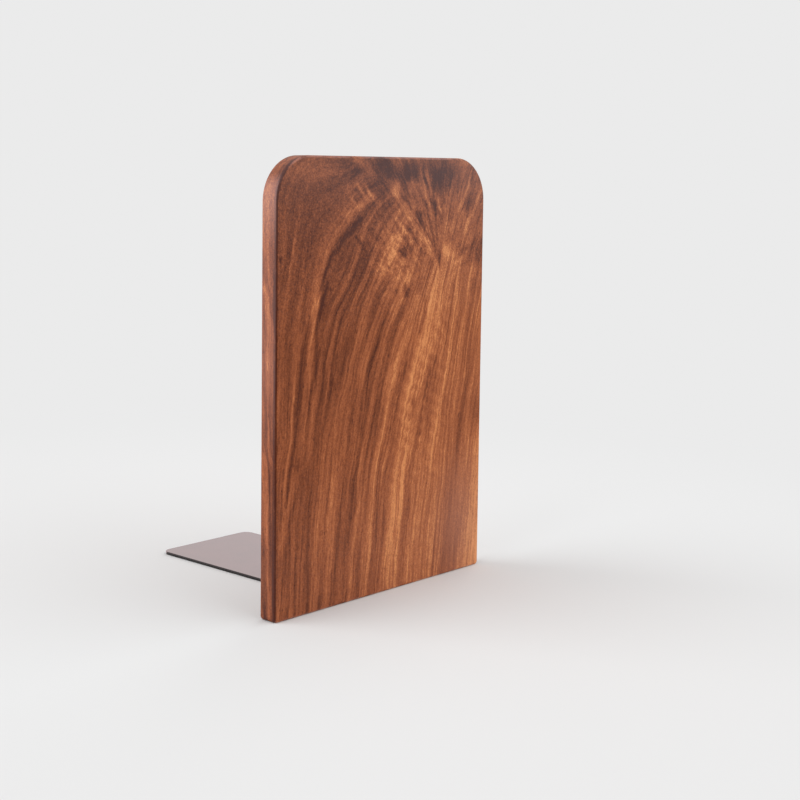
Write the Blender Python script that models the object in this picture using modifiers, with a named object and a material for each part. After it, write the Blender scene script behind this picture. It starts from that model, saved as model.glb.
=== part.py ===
"""Wooden bookend: an upright hardwood panel screwed to a thin bent steel bracket.

The panel's outer face looks along -Y. Books stand on the bracket's base, behind the panel, on the +Y side.
The origin is on the shelf surface, at the middle of the whole bookend's footprint. Lengths are in metres.
"""

import math

import bmesh
import bpy

MM = 0.001

# Overall sizes
PANEL_WIDTH = 120 * MM
PANEL_HEIGHT = 170 * MM
OVERALL_DEPTH = 105 * MM

# Wooden panel
PANEL_THICKNESS = 8 * MM
PANEL_TOP_RADIUS = 17 * MM
PANEL_FOOT_RADIUS = 1.6 * MM
PANEL_EDGE_RADIUS = 1.1 * MM

# Steel bracket, bent from one sheet
SHEET_THICKNESS = 0.7 * MM
BRACKET_WIDTH = 50 * MM
LEG_HEIGHT = 50 * MM
BEND_INNER_RADIUS = 1 * MM
SHEET_CORNER_RADIUS = 4 * MM

# Non-slip pad stuck under the base
PAD_THICKNESS = 0.3 * MM

# Countersunk wood screws through the leg
SCREW_LENGTH = 5.5 * MM
SCREW_HEAD_RADIUS = 2 * MM
SCREW_RIM_HEIGHT = 0.12 * MM
SCREW_THREAD_RADIUS = 1.1 * MM
SCREW_CORE_RADIUS = 0.8 * MM
SCREW_PITCH = 1 * MM
SCREW_TIP_LENGTH = 1.4 * MM
SCREW_TIP_FLAT_RADIUS = 0.12 * MM
DRIVE_SPAN = 2.3 * MM
DRIVE_WIDTH = 0.55 * MM
DRIVE_DEPTH = 0.5 * MM
SCREW_COLUMN_SPACING = 30 * MM
SCREW_ROW_SPACING = 26 * MM
SCREW_TOP_MARGIN = 10 * MM

# Clearance between touching pieces, and how far a cutter runs past what it cuts
SEAT_GAP = 0.3 * MM
OVERRUN = 2 * MM

# Facets of round shapes
LARGE_ARC_STEPS = 20
SMALL_ARC_STEPS = 8
EDGE_SEGMENTS = 4
TURNED_STEPS = 28
THREAD_POINTS_PER_TURN = 16
THREAD_RUNOUT_POINTS = 5
SMOOTH_ANGLE = math.radians(30)
WELD_DISTANCE = 0.001 * MM

# Planes worked out from the sizes
PANEL_FRONT_Y = -OVERALL_DEPTH / 2
PANEL_BACK_Y = PANEL_FRONT_Y + PANEL_THICKNESS
BASE_END_Y = OVERALL_DEPTH / 2
BASE_UNDER_Z = PAD_THICKNESS + SEAT_GAP
BASE_TOP_Z = BASE_UNDER_Z + SHEET_THICKNESS
LEG_FRONT_Y = PANEL_BACK_Y - SHEET_THICKNESS
BEND_CENTRE_Y = PANEL_BACK_Y + BEND_INNER_RADIUS
BEND_CENTRE_Z = BASE_TOP_Z + BEND_INNER_RADIUS
BEND_OUTER_RADIUS = BEND_INNER_RADIUS + SHEET_THICKNESS

# A flat outline lies in its object's own XY plane. These turn it to stand up or to be seen from the side.
FLAT = (0, 0, 0)
FACING_FRONT = (math.pi / 2, 0, 0)
FACING_SIDE = (math.pi / 2, 0, math.pi / 2)
HEAD_TO_BACK = (-math.pi / 2, 0, 0)


def new_collection(name):
    """A collection of the scene."""
    collection = bpy.data.collections.new(name)
    bpy.context.scene.collection.children.link(collection)
    return collection


def new_material(name, colour, roughness, metallic):
    """A Principled BSDF with one colour."""
    material = bpy.data.materials.new(name)
    material.use_nodes = True
    shader = material.node_tree.nodes["Principled BSDF"]
    shader.inputs["Base Color"].default_value = (*colour, 1)
    shader.inputs["Roughness"].default_value = roughness
    shader.inputs["Metallic"].default_value = metallic
    return material


def arc(centre, radius, start, end, steps):
    """Points of a circular arc, in the plane of an outline. Angles are in degrees."""
    angles = [math.radians(start + (end - start) * i / steps) for i in range(steps + 1)]
    return [(centre[0] + radius * math.cos(a), centre[1] + radius * math.sin(a)) for a in angles]


def rounded_outline(left, right, bottom, top, bottom_radius, top_radius, steps):
    """A rectangle's outline, anticlockwise, with its bottom and top corners rounded by two radii."""
    corners = (
        (left, bottom, bottom_radius, 180),
        (right, bottom, bottom_radius, 270),
        (right, top, top_radius, 0),
        (left, top, top_radius, 90),
    )
    outline = []
    for x, y, radius, start in corners:
        if not radius:
            outline.append((x, y))
            continue
        centre_x = x + radius if x == left else x - radius
        centre_y = y + radius if y == bottom else y - radius
        outline += arc((centre_x, centre_y), radius, start, start + 90, steps)
    return outline


def mesh_from(source, name, collection):
    """Replaces an object by a mesh of what it evaluates to, with its loose caps welded on."""
    graph = bpy.context.evaluated_depsgraph_get()
    mesh = bpy.data.meshes.new_from_object(source.evaluated_get(graph), depsgraph=graph)
    shape = bmesh.new()
    shape.from_mesh(mesh)
    bmesh.ops.remove_doubles(shape, verts=shape.verts, dist=WELD_DISTANCE)
    bmesh.ops.recalc_face_normals(shape, faces=shape.faces)
    shape.to_mesh(mesh)
    shape.free()
    made = bpy.data.objects.new(name, mesh)
    made.matrix_world = source.matrix_world
    collection.objects.link(made)
    bpy.data.objects.remove(source, do_unlink=True)
    return made


def outline_solid(name, outline, thickness, middle, turned, collection):
    """A flat outline given a thickness, centred on middle and turned to its plane."""
    curve = bpy.data.curves.new(name, "CURVE")
    curve.dimensions = "2D"
    curve.fill_mode = "BOTH"
    curve.extrude = thickness / 2
    spline = curve.splines.new("POLY")
    spline.points.add(len(outline) - 1)
    for point, (x, y) in zip(spline.points, outline):
        point.co = (x, y, 0, 1)
    spline.use_cyclic_u = True
    guide = bpy.data.objects.new(name + "_outline", curve)
    guide.location = middle
    guide.rotation_euler = turned
    collection.objects.link(guide)
    bpy.context.view_layer.update()
    return mesh_from(guide, name, collection)


def turned_solid(name, profile, collection):
    """A body turned about its own Z axis from (radius, height) points that run from top to bottom."""
    mesh = bpy.data.meshes.new(name)
    points = [(radius, 0, height) for radius, height in profile]
    mesh.from_pydata(points, [(i, i + 1) for i in range(len(points) - 1)], [])
    body = bpy.data.objects.new(name, mesh)
    collection.objects.link(body)
    screw = body.modifiers.new("turn", "SCREW")
    screw.axis = "Z"
    screw.steps = TURNED_STEPS
    screw.render_steps = TURNED_STEPS
    screw.use_merge_vertices = True
    screw.merge_threshold = WELD_DISTANCE
    bpy.context.view_layer.update()
    return mesh_from(body, name, collection)


def box(name, size, middle, collection):
    """A plain box, made from the cube primitive."""
    shape = bmesh.new()
    bmesh.ops.create_cube(shape, size=1)
    bmesh.ops.scale(shape, vec=size, verts=shape.verts)
    bmesh.ops.translate(shape, vec=middle, verts=shape.verts)
    mesh = bpy.data.meshes.new(name)
    shape.to_mesh(mesh)
    shape.free()
    made = bpy.data.objects.new(name, mesh)
    collection.objects.link(made)
    return made


def as_cutter(obj):
    """Marks a helper that only shapes other objects."""
    obj.hide_render = True
    obj.display_type = "WIRE"
    return obj


def combine(target, tool, operation):
    """Adds an exact Boolean of the tool to the target."""
    boolean = target.modifiers.new(tool.name, "BOOLEAN")
    boolean.operation = operation
    boolean.solver = "EXACT"
    boolean.object = tool


def finish(mesh, material):
    """Smooth round faces, sharp corners, and the piece's own material."""
    mesh.shade_smooth()
    mesh.set_sharp_from_angle(angle=SMOOTH_ANGLE)
    mesh.materials.clear()
    mesh.materials.append(material)


def screw_places():
    """Centres of the screw heads on the leg, as (x, z), top row first."""
    top_z = LEG_HEIGHT - SCREW_TOP_MARGIN
    columns = (-SCREW_COLUMN_SPACING / 2, SCREW_COLUMN_SPACING / 2)
    rows = (top_z, top_z - SCREW_ROW_SPACING)
    return [(x, z) for z in rows for x in columns]


def screw_space(name, x, z, cutters):
    """The room for one screw: a countersink in the leg and a pilot hole in the wood."""
    head = SCREW_HEAD_RADIUS + SEAT_GAP
    pilot = SCREW_THREAD_RADIUS + SEAT_GAP
    profile = (
        (0, OVERRUN),
        (head, OVERRUN),
        (head, -SCREW_RIM_HEIGHT),
        (pilot, -SCREW_RIM_HEIGHT - (head - pilot)),
        (pilot, -SCREW_LENGTH - SEAT_GAP),
        (0, -SCREW_LENGTH - SEAT_GAP),
    )
    space = turned_solid(name, profile, cutters)
    space.location = (x, PANEL_BACK_Y, z)
    space.rotation_euler = HEAD_TO_BACK
    return as_cutter(space)


def wood_panel(parts, cutters, spaces, material):
    """The upright board, rounded over all round, with a shallow recess for the bracket's leg."""
    outline = rounded_outline(
        -PANEL_WIDTH / 2,
        PANEL_WIDTH / 2,
        0,
        PANEL_HEIGHT,
        PANEL_FOOT_RADIUS,
        PANEL_TOP_RADIUS,
        LARGE_ARC_STEPS,
    )
    middle = (0, PANEL_FRONT_Y + PANEL_THICKNESS / 2, 0)
    panel = outline_solid("wood_panel", outline, PANEL_THICKNESS, middle, FACING_FRONT, parts)
    edge = panel.modifiers.new("round_over", "BEVEL")
    edge.width = PANEL_EDGE_RADIUS
    edge.segments = EDGE_SEGMENTS
    edge.limit_method = "ANGLE"
    edge.angle_limit = SMOOTH_ANGLE
    edge.use_clamp_overlap = False

    recess_outline = rounded_outline(
        -BRACKET_WIDTH / 2 - SEAT_GAP,
        BRACKET_WIDTH / 2 + SEAT_GAP,
        -OVERRUN,
        LEG_HEIGHT + SEAT_GAP,
        0,
        SHEET_CORNER_RADIUS + SEAT_GAP,
        SMALL_ARC_STEPS,
    )
    recess_depth = SHEET_THICKNESS + SEAT_GAP
    recess_middle = (0, PANEL_BACK_Y + (OVERRUN - recess_depth) / 2, 0)
    recess = outline_solid(
        "leg_recess", recess_outline, recess_depth + OVERRUN, recess_middle, FACING_FRONT, cutters
    )
    combine(panel, as_cutter(recess), "DIFFERENCE")
    for space in spaces:
        combine(panel, space, "DIFFERENCE")
    finish(panel.data, material)


def steel_bracket(parts, cutters, spaces, material):
    """The L-shaped sheet: a leg let into the panel's back, a bend, and the base under the books."""
    side_view = [
        (LEG_FRONT_Y, LEG_HEIGHT + OVERRUN),
        *arc((BEND_CENTRE_Y, BEND_CENTRE_Z), BEND_OUTER_RADIUS, 180, 270, SMALL_ARC_STEPS),
        (BASE_END_Y + OVERRUN, BASE_UNDER_Z),
        (BASE_END_Y + OVERRUN, BASE_TOP_Z),
        *arc((BEND_CENTRE_Y, BEND_CENTRE_Z), BEND_INNER_RADIUS, 270, 180, SMALL_ARC_STEPS),
        (PANEL_BACK_Y, LEG_HEIGHT + OVERRUN),
    ]
    bracket = outline_solid(
        "steel_bracket", side_view, BRACKET_WIDTH + 2 * OVERRUN, (0, 0, 0), FACING_SIDE, parts
    )

    plan = rounded_outline(
        -BRACKET_WIDTH / 2,
        BRACKET_WIDTH / 2,
        LEG_FRONT_Y - OVERRUN,
        BASE_END_Y,
        0,
        SHEET_CORNER_RADIUS,
        SMALL_ARC_STEPS,
    )
    plan_height = LEG_HEIGHT + 3 * OVERRUN
    plan_trim = outline_solid(
        "bracket_plan", plan, plan_height, (0, 0, plan_height / 2 - OVERRUN), FLAT, cutters
    )
    combine(bracket, as_cutter(plan_trim), "INTERSECT")

    front = rounded_outline(
        -BRACKET_WIDTH / 2,
        BRACKET_WIDTH / 2,
        -OVERRUN,
        LEG_HEIGHT,
        0,
        SHEET_CORNER_RADIUS,
        SMALL_ARC_STEPS,
    )
    front_trim = outline_solid(
        "bracket_front", front, OVERALL_DEPTH + 2 * OVERRUN, (0, 0, 0), FACING_FRONT, cutters
    )
    combine(bracket, as_cutter(front_trim), "INTERSECT")
    for space in spaces:
        combine(bracket, space, "DIFFERENCE")
    finish(bracket.data, material)


def non_slip_pad(parts, material):
    """The thin sheet stuck under the flat of the base."""
    outline = rounded_outline(
        -BRACKET_WIDTH / 2,
        BRACKET_WIDTH / 2,
        BEND_CENTRE_Y,
        BASE_END_Y,
        0,
        SHEET_CORNER_RADIUS,
        SMALL_ARC_STEPS,
    )
    middle = (0, 0, PAD_THICKNESS / 2)
    pad = outline_solid("non_slip_pad", outline, PAD_THICKNESS, middle, FLAT, parts)
    finish(pad.data, material)


def thread_ridge(cutters):
    """The helical ridge of a wood screw, dying out under the head and at the tip."""
    ridge = SCREW_THREAD_RADIUS - SCREW_CORE_RADIUS
    neck = SCREW_RIM_HEIGHT + SCREW_HEAD_RADIUS - SCREW_CORE_RADIUS
    top = -neck - ridge
    run = SCREW_LENGTH - neck - SCREW_TIP_LENGTH
    count = round(run / SCREW_PITCH * THREAD_POINTS_PER_TURN)
    curve = bpy.data.curves.new("thread_ridge", "CURVE")
    curve.dimensions = "3D"
    curve.bevel_depth = ridge
    curve.bevel_resolution = 0
    curve.use_fill_caps = True
    spline = curve.splines.new("POLY")
    spline.points.add(count)
    for i, point in enumerate(spline.points):
        angle = 2 * math.pi * i / THREAD_POINTS_PER_TURN
        height = top - SCREW_PITCH * i / THREAD_POINTS_PER_TURN
        point.co = (SCREW_CORE_RADIUS * math.cos(angle), SCREW_CORE_RADIUS * math.sin(angle), height, 1)
        point.radius = min(1, (i + 1) / THREAD_RUNOUT_POINTS, (count - i + 1) / THREAD_RUNOUT_POINTS)
    guide = bpy.data.objects.new("thread_ridge_curve", curve)
    cutters.objects.link(guide)
    bpy.context.view_layer.update()
    return as_cutter(mesh_from(guide, "thread_ridge", cutters))


def screw_mesh(cutters):
    """One countersunk wood screw along its own Z axis, with its head's face at the origin."""
    neck = SCREW_RIM_HEIGHT + SCREW_HEAD_RADIUS - SCREW_CORE_RADIUS
    profile = (
        (0, 0),
        (SCREW_HEAD_RADIUS, 0),
        (SCREW_HEAD_RADIUS, -SCREW_RIM_HEIGHT),
        (SCREW_CORE_RADIUS, -neck),
        (SCREW_CORE_RADIUS, SCREW_TIP_LENGTH - SCREW_LENGTH),
        (SCREW_TIP_FLAT_RADIUS, -SCREW_LENGTH),
        (0, -SCREW_LENGTH),
    )
    core = turned_solid("screw_core", profile, cutters)
    combine(core, thread_ridge(cutters), "UNION")
    drive_height = DRIVE_DEPTH + OVERRUN
    drive_middle = (0, 0, OVERRUN - drive_height / 2)
    for name, size in (
        ("drive_slot_x", (DRIVE_SPAN, DRIVE_WIDTH, drive_height)),
        ("drive_slot_y", (DRIVE_WIDTH, DRIVE_SPAN, drive_height)),
    ):
        slot = box(name, size, drive_middle, cutters)
        combine(core, as_cutter(slot), "DIFFERENCE")
    bpy.context.view_layer.update()
    master = mesh_from(core, "screw_master", cutters)
    mesh = master.data
    bpy.data.objects.remove(master, do_unlink=True)
    return mesh


def wood_screws(parts, cutters, material):
    """The screws that hold the leg to the panel, all from one mesh."""
    mesh = screw_mesh(cutters)
    finish(mesh, material)
    for number, (x, z) in enumerate(screw_places(), 1):
        screw = bpy.data.objects.new(f"leg_screw_{number}", mesh)
        screw.location = (x, PANEL_BACK_Y, z)
        screw.rotation_euler = HEAD_TO_BACK
        parts.objects.link(screw)


def main():
    for obj in list(bpy.data.objects):
        bpy.data.objects.remove(obj, do_unlink=True)
    parts = new_collection("wooden_bookend")
    cutters = new_collection("cutters")

    wood = new_material("walnut", (0.22, 0.085, 0.045), 0.45, 0)
    coated_steel = new_material("coated_steel", (0.11, 0.085, 0.08), 0.38, 0.5)
    rubber = new_material("black_rubber", (0.02, 0.02, 0.02), 0.85, 0)
    screw_steel = new_material("screw_steel", (0.06, 0.055, 0.055), 0.35, 0.9)

    spaces = [
        screw_space(f"screw_space_{number}", x, z, cutters)
        for number, (x, z) in enumerate(screw_places(), 1)
    ]
    wood_panel(parts, cutters, spaces, wood)
    steel_bracket(parts, cutters, spaces, coated_steel)
    non_slip_pad(parts, rubber)
    wood_screws(parts, cutters, screw_steel)


main()
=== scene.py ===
"""Looks of the wooden bookend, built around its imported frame: a walnut board on a thin coated steel bracket.

Lengths are in metres, and inside the materials in millimetres. The board's outer face looks along -Y,
books stand on its +Y side, and +Z is up.
"""

import math

import bmesh
import bpy
from mathutils import Matrix, Vector

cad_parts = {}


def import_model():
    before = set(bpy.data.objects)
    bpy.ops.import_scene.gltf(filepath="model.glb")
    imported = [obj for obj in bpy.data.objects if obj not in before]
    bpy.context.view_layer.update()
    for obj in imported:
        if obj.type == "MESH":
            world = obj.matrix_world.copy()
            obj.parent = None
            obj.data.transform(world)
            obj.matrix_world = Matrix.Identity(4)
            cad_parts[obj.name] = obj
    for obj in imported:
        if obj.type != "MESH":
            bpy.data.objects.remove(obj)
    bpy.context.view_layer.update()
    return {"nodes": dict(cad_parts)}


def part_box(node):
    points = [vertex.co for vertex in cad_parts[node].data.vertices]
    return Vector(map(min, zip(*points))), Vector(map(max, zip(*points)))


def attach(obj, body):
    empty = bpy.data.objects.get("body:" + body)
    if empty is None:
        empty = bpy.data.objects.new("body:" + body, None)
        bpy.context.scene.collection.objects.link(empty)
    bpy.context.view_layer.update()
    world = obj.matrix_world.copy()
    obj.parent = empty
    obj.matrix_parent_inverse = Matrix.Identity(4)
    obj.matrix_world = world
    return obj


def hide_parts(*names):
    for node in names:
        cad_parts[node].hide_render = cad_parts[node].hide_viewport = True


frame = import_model()

MM = 0.001

# Sizes that the frame's boxes don't tell
PANEL_TOP_RADIUS = 17 * MM
PANEL_FOOT_RADIUS = 1.6 * MM
PANEL_EDGE_RADIUS = 1.1 * MM
SHEET_THICKNESS = 0.7 * MM
SHEET_CORNER_RADIUS = 4 * MM
SHEET_EDGE_RADIUS = 0.16 * MM
BEND_INNER_RADIUS = 1 * MM
SEAT_GAP = 0.3 * MM
PAD_INSET = 0.12 * MM
PAD_EDGE_RADIUS = 0.15 * MM
SCREW_LENGTH = 5.5 * MM
SCREW_HEAD_RADIUS = 2 * MM
SCREW_RIM_HEIGHT = 0.12 * MM
SCREW_CORE_RADIUS = 0.8 * MM
SCREW_THREAD_RADIUS = 1.1 * MM
SCREW_PITCH = 1 * MM
SCREW_TIP_LENGTH = 1.4 * MM
SCREW_TIP_FLAT_RADIUS = 0.12 * MM
SCREW_EDGE_RADIUS = 0.06 * MM
DRIVE_SPAN = 2.3 * MM
DRIVE_WIDTH = 0.55 * MM
DRIVE_DEPTH = 0.5 * MM
DRIVE_FLOOR_SHARE = 0.6
OVERRUN = 2 * MM
FLAT_MARGIN = 0.05 * MM
MERGE_DISTANCE = 0.001 * MM

# How far each screw's recess is turned, in degrees
SCREW_TURNS = (14, -31, 52, -8)

# Facets
TOP_ARC_STEPS = 40
FOOT_ARC_STEPS = 10
SHEET_ARC_STEPS = 20
EDGE_STEPS = 8
THIN_EDGE_STEPS = 4
BEND_STEPS = 16
TURNED_STEPS = 64
THREAD_STEPS = 32
THREAD_RUNOUT = 10
FLOOR_STEPS = 96
SMOOTH_ANGLE = math.radians(32)

# Camera, from the middle of the board's front foot, fitted to the board's corners in the photograph
CAMERA_FROM_FOOT = Vector((-423.192, -369.435, 162.643)) * MM
CAMERA_YAW = math.radians(-45.287)
CAMERA_PITCH = math.radians(5.192)
CAMERA_ROLL = math.radians(0.392)
CAMERA_LENS = 65.65
CAMERA_SHIFT_X = 0.13
CAMERA_SHIFT_Y = -0.115

# Greys of the backdrop and of the floor, the strength of the even light, and the lamps: name, the direction
# it comes from, strength, and angle in degrees
BACKDROP = 0.83
FLOOR_PAPER = 0.74
AMBIENT = 0.5
LAMPS = (
    ("key_light", (-0.9, 0.4, 0.6), 2, 75),
    ("fill_light", (0.8, -0.6, 0.5), 2, 120),
)

# The floor's radius, and the distances over which its shadows fade into the backdrop, all in metres
FLOOR_RADIUS = 6
FLOOR_FADE = (0.12, 0.4)

panel_low, panel_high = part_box("wood_panel")
bracket_low, bracket_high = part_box("steel_bracket")
pad_low, pad_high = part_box("non_slip_pad")
screw_names = sorted(name for name in frame["nodes"] if name.startswith("leg_screw"))

# The depth at which a screw's cone meets its core
screw_neck = SCREW_RIM_HEIGHT + SCREW_HEAD_RADIUS - SCREW_CORE_RADIUS

# The sheet's bend, and its flat blank along the middle of its thickness
bend_centre_y = panel_high.y + BEND_INNER_RADIUS
bend_centre_z = bracket_low.z + SHEET_THICKNESS + BEND_INNER_RADIUS
bend_radius = BEND_INNER_RADIUS + SHEET_THICKNESS / 2
bend_length = bend_radius * math.pi / 2
leg_length = bracket_high.z - bend_centre_z
blank_length = leg_length + bend_length + bracket_high.y - bend_centre_y


def arc(centre_x, centre_y, radius, start, end, steps):
    """Points of a circular arc. Angles are in degrees."""
    angles = [math.radians(start + (end - start) * i / steps) for i in range(steps + 1)]
    return [(centre_x + radius * math.cos(a), centre_y + radius * math.sin(a)) for a in angles]


def edge_profile(radius, steps):
    """(inset, depth) steps of a quarter-round edge, from the flat face down to the side."""
    angles = [math.pi / 2 * i / steps for i in range(steps + 1)]
    return [(radius * (1 - math.sin(a)), radius * (1 - math.cos(a))) for a in angles]


def stacked_solid(name, ring_at, levels, cap):
    """A closed mesh of rings with as many points each. ring_at gives a level's ring, cap closes an end."""
    mesh = bmesh.new()
    rings = [[mesh.verts.new(point) for point in ring_at(*level)] for level in levels]
    for low, high in zip(rings, rings[1:]):
        for i in range(len(low)):
            j = (i + 1) % len(low)
            mesh.faces.new((low[i], low[j], high[j], high[i]))
    cap(mesh, rings[0])
    cap(mesh, rings[-1])
    return finished_object(name, mesh)


def finished_object(name, mesh):
    """A smooth-shaded object with sharp corners kept, from a bmesh."""
    bmesh.ops.recalc_face_normals(mesh, faces=mesh.faces)
    data = bpy.data.meshes.new(name)
    mesh.to_mesh(data)
    mesh.free()
    made = bpy.data.objects.new(name, data)
    bpy.context.scene.collection.objects.link(made)
    smooth(data)
    return made


def smooth(data):
    data.shade_smooth()
    data.set_sharp_from_angle(angle=SMOOTH_ANGLE)


def polygon_cap(mesh, ring):
    """Closes a ring by one flat polygon."""
    mesh.faces.new(ring)


def ladder_cap(mesh, ring):
    """Closes a ring whose second half mirrors its first by a row of quads, which may follow a bend."""
    last = len(ring) - 1
    for i in range(len(ring) // 2 - 1):
        mesh.faces.new((ring[i], ring[i + 1], ring[last - i - 1], ring[last - i]))


def combine(target, tools, operation="DIFFERENCE"):
    """Cuts the tools out of the target, or joins them to it, and deletes them."""
    for tool in tools:
        boolean = target.modifiers.new(tool.name, "BOOLEAN")
        boolean.operation = operation
        boolean.solver = "EXACT"
        boolean.object = tool
    bake_modifiers(target)
    for tool in tools:
        bpy.data.objects.remove(tool, do_unlink=True)


def bake_modifiers(target):
    """Applies all the modifiers of an object."""
    bpy.context.view_layer.update()
    graph = bpy.context.evaluated_depsgraph_get()
    data = bpy.data.meshes.new_from_object(target.evaluated_get(graph), depsgraph=graph)
    target.modifiers.clear()
    target.data = data
    smooth(data)


def panel_outline(inset):
    """The board's outline in X and Z, drawn in by inset."""
    left, right = panel_low.x + inset, panel_high.x - inset
    bottom, top = panel_low.z + inset, panel_high.z - inset
    foot = PANEL_FOOT_RADIUS - inset
    head = PANEL_TOP_RADIUS - inset
    return [
        *arc(left + foot, bottom + foot, foot, 180, 270, FOOT_ARC_STEPS),
        *arc(right - foot, bottom + foot, foot, 270, 360, FOOT_ARC_STEPS),
        *arc(right - head, top - head, head, 0, 90, TOP_ARC_STEPS),
        *arc(left + head, top - head, head, 90, 180, TOP_ARC_STEPS),
    ]


def leg_recess():
    """A cutter for the shallow recess that takes the bracket's leg."""
    left, right = bracket_low.x - SEAT_GAP, bracket_high.x + SEAT_GAP
    top = bracket_high.z + SEAT_GAP
    radius = SHEET_CORNER_RADIUS + SEAT_GAP
    outline = [
        (left, panel_low.z - OVERRUN),
        (right, panel_low.z - OVERRUN),
        *arc(right - radius, top - radius, radius, 0, 90, SHEET_ARC_STEPS),
        *arc(left + radius, top - radius, radius, 90, 180, SHEET_ARC_STEPS),
    ]
    floor_y = panel_high.y - SHEET_THICKNESS - SEAT_GAP
    levels = ((floor_y,), (panel_high.y + OVERRUN,))
    return stacked_solid(
        "leg_recess", lambda y: [(x, y, z) for x, z in outline], levels, polygon_cap
    )


def screw_centre(name):
    """The middle of a screw's head face."""
    low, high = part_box(name)
    return Vector(((low.x + high.x) / 2, panel_high.y, (low.z + high.z) / 2))


def turned_solid(name, profile):
    """A body turned about Z from (radius, height) points that run from top to bottom."""
    mesh = bmesh.new()
    points = [mesh.verts.new((radius, 0, height)) for radius, height in profile]
    edges = [mesh.edges.new(pair) for pair in zip(points, points[1:])]
    bmesh.ops.spin(
        mesh,
        geom=points + edges,
        cent=(0, 0, 0),
        axis=(0, 0, 1),
        angle=2 * math.pi,
        steps=TURNED_STEPS,
        use_merge=True,
    )
    bmesh.ops.remove_doubles(mesh, verts=mesh.verts, dist=MERGE_DISTANCE)
    return finished_object(name, mesh)


def face_back(obj, place):
    """Moves a body that stands on its own Z axis to the board's back, with its top facing +Y."""
    turn = Matrix.Rotation(-math.pi / 2, 4, "X")
    obj.data.transform(Matrix.Translation(place) @ turn)
    return obj


def screw_space(name):
    """A cutter for one screw: the countersink in the leg and the pilot hole in the wood."""
    head = SCREW_HEAD_RADIUS + SEAT_GAP
    pilot = SCREW_THREAD_RADIUS + SEAT_GAP
    profile = (
        (0, OVERRUN),
        (head, OVERRUN),
        (head, -SCREW_RIM_HEIGHT),
        (pilot, -SCREW_RIM_HEIGHT - (head - pilot)),
        (pilot, -SCREW_LENGTH - SEAT_GAP),
        (0, -SCREW_LENGTH - SEAT_GAP),
    )
    return face_back(turned_solid("space_" + name, profile), screw_centre(name))


def wood_board():
    """The upright board, rounded over all round, with its recess and pilot holes."""
    edge = edge_profile(PANEL_EDGE_RADIUS, EDGE_STEPS)
    front = [(inset, panel_low.y + depth) for inset, depth in edge]
    back = [(inset, panel_high.y - depth) for inset, depth in reversed(edge)]
    flat_inset = PANEL_EDGE_RADIUS + FLAT_MARGIN
    levels = [(flat_inset, panel_low.y), *front, *back, (flat_inset, panel_high.y)]
    board = stacked_solid(
        "walnut_board",
        lambda inset, y: [(x, y, z) for x, z in panel_outline(inset)],
        levels,
        polygon_cap,
    )
    combine(board, [leg_recess(), *(screw_space(name) for name in screw_names)])
    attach(board, "root")
    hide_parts("wood_panel")
    return board


def bent(x, along, depth):
    """A point of the flat blank, bent. along starts at the leg's top, depth at the sheet's inner face."""
    turn = min(max((along - leg_length) / bend_radius, 0), math.pi / 2)
    radius = BEND_INNER_RADIUS + depth
    on_leg = max(leg_length - along, 0)
    on_base = max(along - leg_length - bend_length, 0)
    y = bend_centre_y - radius * math.cos(turn) + on_base
    z = bend_centre_z - radius * math.sin(turn) + on_leg
    return (x, y, z)


def blank_outline(inset):
    """The flat blank's outline as (x, along): down its left side from the leg's top, and up its right."""
    half = (bracket_high.x - bracket_low.x) / 2 - inset
    radius = SHEET_CORNER_RADIUS - inset
    start, end = inset, blank_length - inset
    left = [
        *arc(-half + radius, start + radius, radius, 270, 180, SHEET_ARC_STEPS),
        *((-half, leg_length + bend_length * i / BEND_STEPS) for i in range(BEND_STEPS + 1)),
        *arc(-half + radius, end - radius, radius, 180, 90, SHEET_ARC_STEPS),
    ]
    return left + [(-x, along) for x, along in reversed(left)]


def bracket():
    """The bent sheet, with its countersunk holes."""
    edge = edge_profile(SHEET_EDGE_RADIUS, THIN_EDGE_STEPS)
    outer = [(inset, SHEET_THICKNESS - depth) for inset, depth in reversed(edge)]
    flat_inset = SHEET_EDGE_RADIUS + FLAT_MARGIN
    levels = [(flat_inset, 0), *edge, *outer, (flat_inset, SHEET_THICKNESS)]
    sheet = stacked_solid(
        "bent_sheet",
        lambda inset, depth: [bent(x, along, depth) for x, along in blank_outline(inset)],
        levels,
        ladder_cap,
    )
    combine(sheet, [screw_space(name) for name in screw_names])
    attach(sheet, "root")
    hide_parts("steel_bracket")
    return sheet


def pad_outline(inset):
    """The pad's outline in X and Y, square at the bend and rounded at its free end."""
    left, right = pad_low.x + PAD_INSET + inset, pad_high.x - PAD_INSET - inset
    near, far = pad_low.y + inset, pad_high.y - PAD_INSET - inset
    radius = SHEET_CORNER_RADIUS - PAD_INSET - inset
    return [
        (left, near),
        (right, near),
        *arc(right - radius, far - radius, radius, 0, 90, SHEET_ARC_STEPS),
        *arc(left + radius, far - radius, radius, 90, 180, SHEET_ARC_STEPS),
    ]


def thread_ridge():
    """The helical ridge of a screw, dying out under the head and at the tip."""
    ridge = SCREW_THREAD_RADIUS - SCREW_CORE_RADIUS
    count = round((SCREW_LENGTH - screw_neck - SCREW_TIP_LENGTH) / SCREW_PITCH * THREAD_STEPS)
    inner = SCREW_CORE_RADIUS - ridge / 2

    def section(i):
        turn = 2 * math.pi * i / THREAD_STEPS
        height = -screw_neck - ridge - SCREW_PITCH * i / THREAD_STEPS
        share = min(1, (i + 1) / THREAD_RUNOUT, (count - i + 1) / THREAD_RUNOUT)
        points = ((inner, ridge * share), (SCREW_CORE_RADIUS + ridge * share, 0), (inner, -ridge * share))
        return [(radius * math.cos(turn), radius * math.sin(turn), height + rise) for radius, rise in points]

    return stacked_solid("thread_ridge", section, [(i,) for i in range(count + 1)], polygon_cap)


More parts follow.
